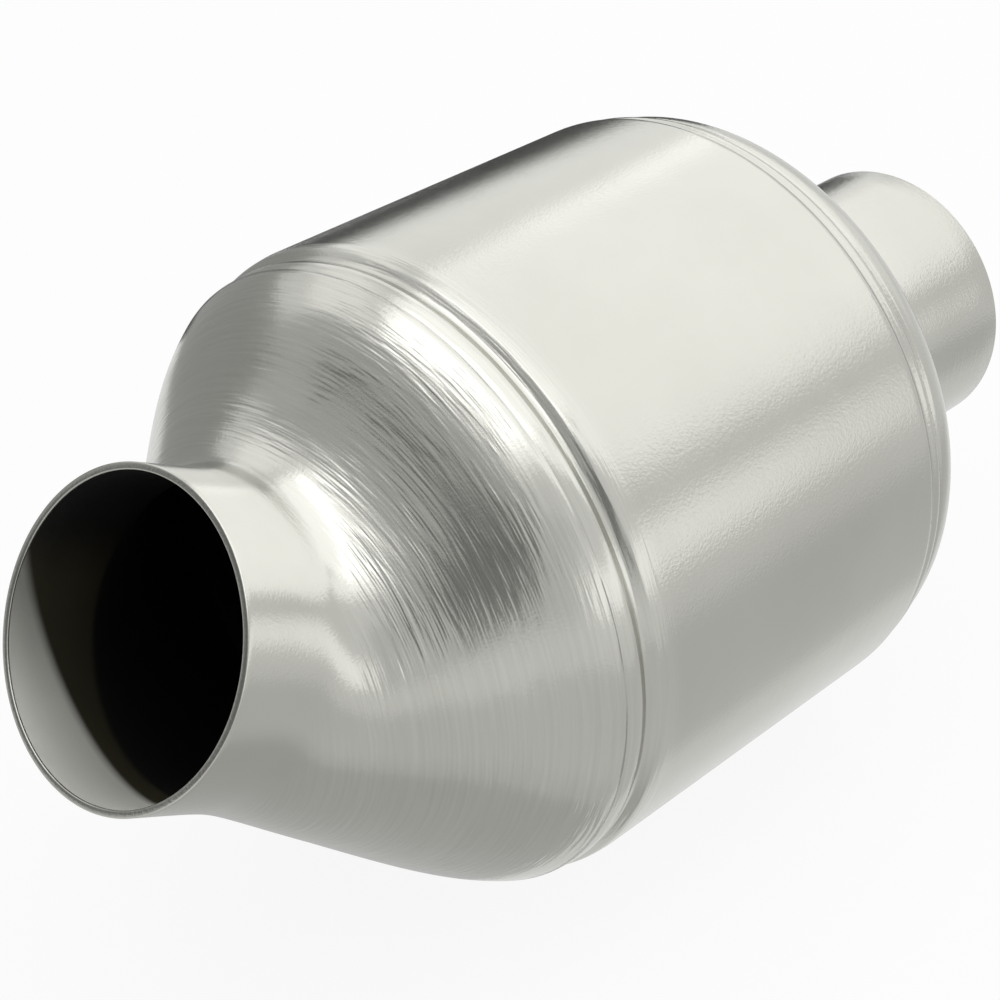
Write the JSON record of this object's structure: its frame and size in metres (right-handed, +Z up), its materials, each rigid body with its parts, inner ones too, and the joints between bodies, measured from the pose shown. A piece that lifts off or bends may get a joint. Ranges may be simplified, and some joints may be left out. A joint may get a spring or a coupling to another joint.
{
  "type": "catalytic converter",
  "caption": "Spun stainless catalytic converter: round body over a honeycomb block, straight outlet neck and an inlet neck that leans up.",
  "frame": {"origin": "centre of the outlet mouth", "axes": "+X out of the outlet along the body's axis, +Z up, the side that the inlet neck leans to; the inlet is at -X"},
  "size_m": [0.2356, 0.1296, 0.1296],
  "materials": {
    "shell": "satin, with fine spinning marks on the inlet end",
    "monolith": "matt fired ceramic with a brown catalyst coat",
    "support_mat": "matt pressed fibre",
    "mat_seal": "matt knitted wire"
  },
  "bodies": {
    "root": {"shell": "shell", "monolith": "monolith", "support_mat": "support_mat", "inlet_mat_seal": "mat_seal", "outlet_mat_seal": "mat_seal"}
  },
  "joints": []
}
